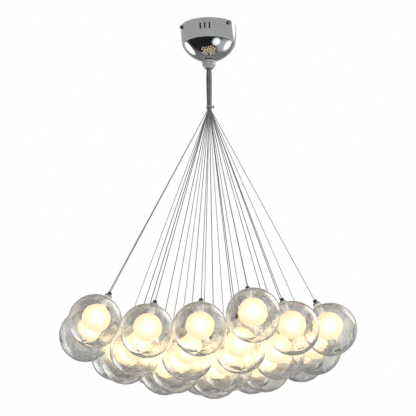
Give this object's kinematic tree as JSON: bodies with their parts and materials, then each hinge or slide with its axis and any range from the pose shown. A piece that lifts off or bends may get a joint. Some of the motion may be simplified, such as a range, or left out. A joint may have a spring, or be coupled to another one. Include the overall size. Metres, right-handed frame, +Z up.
{
  "type": "bubble chandelier",
  "caption": "Bubble chandelier: clear glass globes, each with a lit opal globe inside, nested in a shallow bowl on gathered cords below a domed chrome canopy.",
  "frame": {"origin": "centre of the ceiling plate's top face, in the ceiling plane", "axes": "+Z up towards the ceiling, -Y towards the viewer, +X to the viewer's right"},
  "size_m": [0.559, 0.5609, 0.7372],
  "materials": {
    "plate_steel": "zinc-plated pressed steel",
    "driver_case": "fine-grained moulded plastic",
    "terminal_nylon": "natural nylon",
    "screw_steel": "bright plated steel",
    "cup_chrome": "polished chrome plate on spun steel",
    "gland_nylon": "white, slightly translucent nylon",
    "seal_rubber": "soft black rubber",
    "cord_jacket": "clear jacket over tinned strands",
    "splice_plastic": "crimped closed-end sleeve",
    "tie_nylon": "natural nylon",
    "clear_glass": "clear blown glass",
    "opal_glass": "opal glass, lit from inside",
    "ferrule_plastic": "grey moulded collar",
    "grip_plastic": "black cord grip",
    "holder_ceramic": "white lampholder",
    "lamp_capsule": "frosted capsule",
    "fitting_mixed": "grey collar, black grip and clear-jacketed cord"
  },
  "bodies": {
    "ceiling_plate": {"base_plate": "plate_steel", "led_driver": "driver_case", "mains_terminal": "terminal_nylon", "plate_screws": "screw_steel", "side_screws": "screw_steel"},
    "canopy": {"canopy_cup": "cup_chrome", "gland_body": "gland_nylon", "gland_locknut": "gland_nylon", "gland_seals": "seal_rubber", "gland_cap": "gland_nylon", "cord_tails": "cord_jacket", "splice_sleeve": "splice_plastic"},
    "cord_stem": {"cord_bundle": "cord_jacket", "zip_tie": "tie_nylon"},
    "nest": {"inner_clear_globes": "clear_glass", "inner_opal_globes": "opal_glass", "inner_ferrules": "ferrule_plastic", "inner_grips": "grip_plastic", "inner_holders": "holder_ceramic", "inner_lamps": "lamp_capsule", "inner_cords": "cord_jacket"},
    "pendant_01": {"clear_globe_01": "clear_glass", "opal_globe_01": "opal_glass", "fitting_01": "fitting_mixed"},
    "pendant_02": {"clear_globe_02": "clear_glass", "opal_globe_02": "opal_glass", "fitting_02": "fitting_mixed"},
    "pendant_03": {"clear_globe_03": "clear_glass", "opal_globe_03": "opal_glass", "fitting_03": "fitting_mixed"},
    "pendant_04": {"clear_globe_04": "clear_glass", "opal_globe_04": "opal_glass", "fitting_04": "fitting_mixed"},
    "pendant_05": {"clear_globe_05": "clear_glass", "opal_globe_05": "opal_glass", "fitting_05": "fitting_mixed"},
    "pendant_06": {"clear_globe_06": "clear_glass", "opal_globe_06": "opal_glass", "fitting_06": "fitting_mixed"},
    "pendant_07": {"clear_globe_07": "clear_glass", "opal_globe_07": "opal_glass", "fitting_07": "fitting_mixed"},
    "pendant_08": {"clear_globe_08": "clear_glass", "opal_globe_08": "opal_glass", "fitting_08": "fitting_mixed"},
    "pendant_09": {"clear_globe_09": "clear_glass", "opal_globe_09": "opal_glass", "fitting_09": "fitting_mixed"},
    "pendant_10": {"clear_globe_10": "clear_glass", "opal_globe_10": "opal_glass", "fitting_10": "fitting_mixed"},
    "pendant_11": {"clear_globe_11": "clear_glass", "opal_globe_11": "opal_glass", "fitting_11": "fitting_mixed"},
    "pendant_12": {"clear_globe_12": "clear_glass", "opal_globe_12": "opal_glass", "fitting_12": "fitting_mixed"},
    "pendant_13": {"clear_globe_13": "clear_glass", "opal_globe_13": "opal_glass", "fitting_13": "fitting_mixed"}
  },
  "joints": [
    {"name": "canopy_drop", "type": "slide", "parent": "ceiling_plate", "child": "canopy", "axis": [0, 0, -1], "range_m": [0, 0.05]},
    {"name": "stem_swing", "type": "hinge", "parent": "canopy", "child": "cord_stem", "pos_m": [0, 0, -0.08877], "axis": [1, 0, 0], "range_deg": [-12, 12]},
    {"name": "nest_swing", "type": "hinge", "parent": "cord_stem", "child": "nest", "pos_m": [0, 0, -0.16777], "axis": [0, 1, 0], "range_deg": [-12, 12]},
    {"name": "pendant_01_swing", "type": "hinge", "parent": "nest", "child": "pendant_01", "pos_m": [-0.00366, -0.00239, -0.17554], "axis": [-0.6871, 0.7266, 0], "range_deg": [0, 20]},
    {"name": "pendant_02_swing", "type": "hinge", "parent": "nest", "child": "pendant_02", "pos_m": [-0.00201, -0.00288, -0.17596], "axis": [-0.9583, 0.2857, 0], "range_deg": [0, 20]},
    {"name": "pendant_03_swing", "type": "hinge", "parent": "nest", "child": "pendant_03", "pos_m": [-0.00036, -0.00337, -0.17601], "axis": [-0.9583, 0.2857, 0], "range_deg": [0, 20]},
    {"name": "pendant_04_swing", "type": "hinge", "parent": "nest", "child": "pendant_04", "pos_m": [0.00129, -0.00387, -0.1757], "axis": [-0.9728, -0.2317, 0], "range_deg": [0, 20]},
    {"name": "pendant_05_swing", "type": "hinge", "parent": "nest", "child": "pendant_05", "pos_m": [-0.00405, -0.00072, -0.17567], "axis": [0.2857, 0.9583, 0], "range_deg": [0, 20]},
    {"name": "pendant_06_swing", "type": "hinge", "parent": "nest", "child": "pendant_06", "pos_m": [0.00254, -0.00268, -0.17588], "axis": [-0.7266, -0.6871, 0], "range_deg": [0, 20]},
    {"name": "pendant_07_swing", "type": "hinge", "parent": "nest", "child": "pendant_07", "pos_m": [0.00379, -0.0015, -0.1757], "axis": [-0.2857, -0.9583, 0], "range_deg": [0, 20]},
    {"name": "pendant_08_swing", "type": "hinge", "parent": "nest", "child": "pendant_08", "pos_m": [-0.0032, 0.00214, -0.17581], "axis": [0.2857, 0.9583, 0], "range_deg": [0, 20]},
    {"name": "pendant_09_swing", "type": "hinge", "parent": "nest", "child": "pendant_09", "pos_m": [0.00339, 0.00017, -0.17601], "axis": [0.2317, -0.9728, 0], "range_deg": [0, 20]},
    {"name": "pendant_10_swing", "type": "hinge", "parent": "nest", "child": "pendant_10", "pos_m": [-0.00195, 0.00332, -0.17581], "axis": [0.9728, 0.2317, 0], "range_deg": [0, 20]},
    {"name": "pendant_11_swing", "type": "hinge", "parent": "nest", "child": "pendant_11", "pos_m": [0.00299, 0.00184, -0.17596], "axis": [0.2317, -0.9728, 0], "range_deg": [0, 20]},
    {"name": "pendant_12_swing", "type": "hinge", "parent": "nest", "child": "pendant_12", "pos_m": [0.00094, 0.00401, -0.17567], "axis": [0.9728, 0.2317, 0], "range_deg": [0, 20]},
    {"name": "pendant_13_swing", "type": "hinge", "parent": "nest", "child": "pendant_13", "pos_m": [0.00259, 0.00352, -0.17554], "axis": [0.6871, -0.7266, 0], "range_deg": [0, 20]}
  ]
}
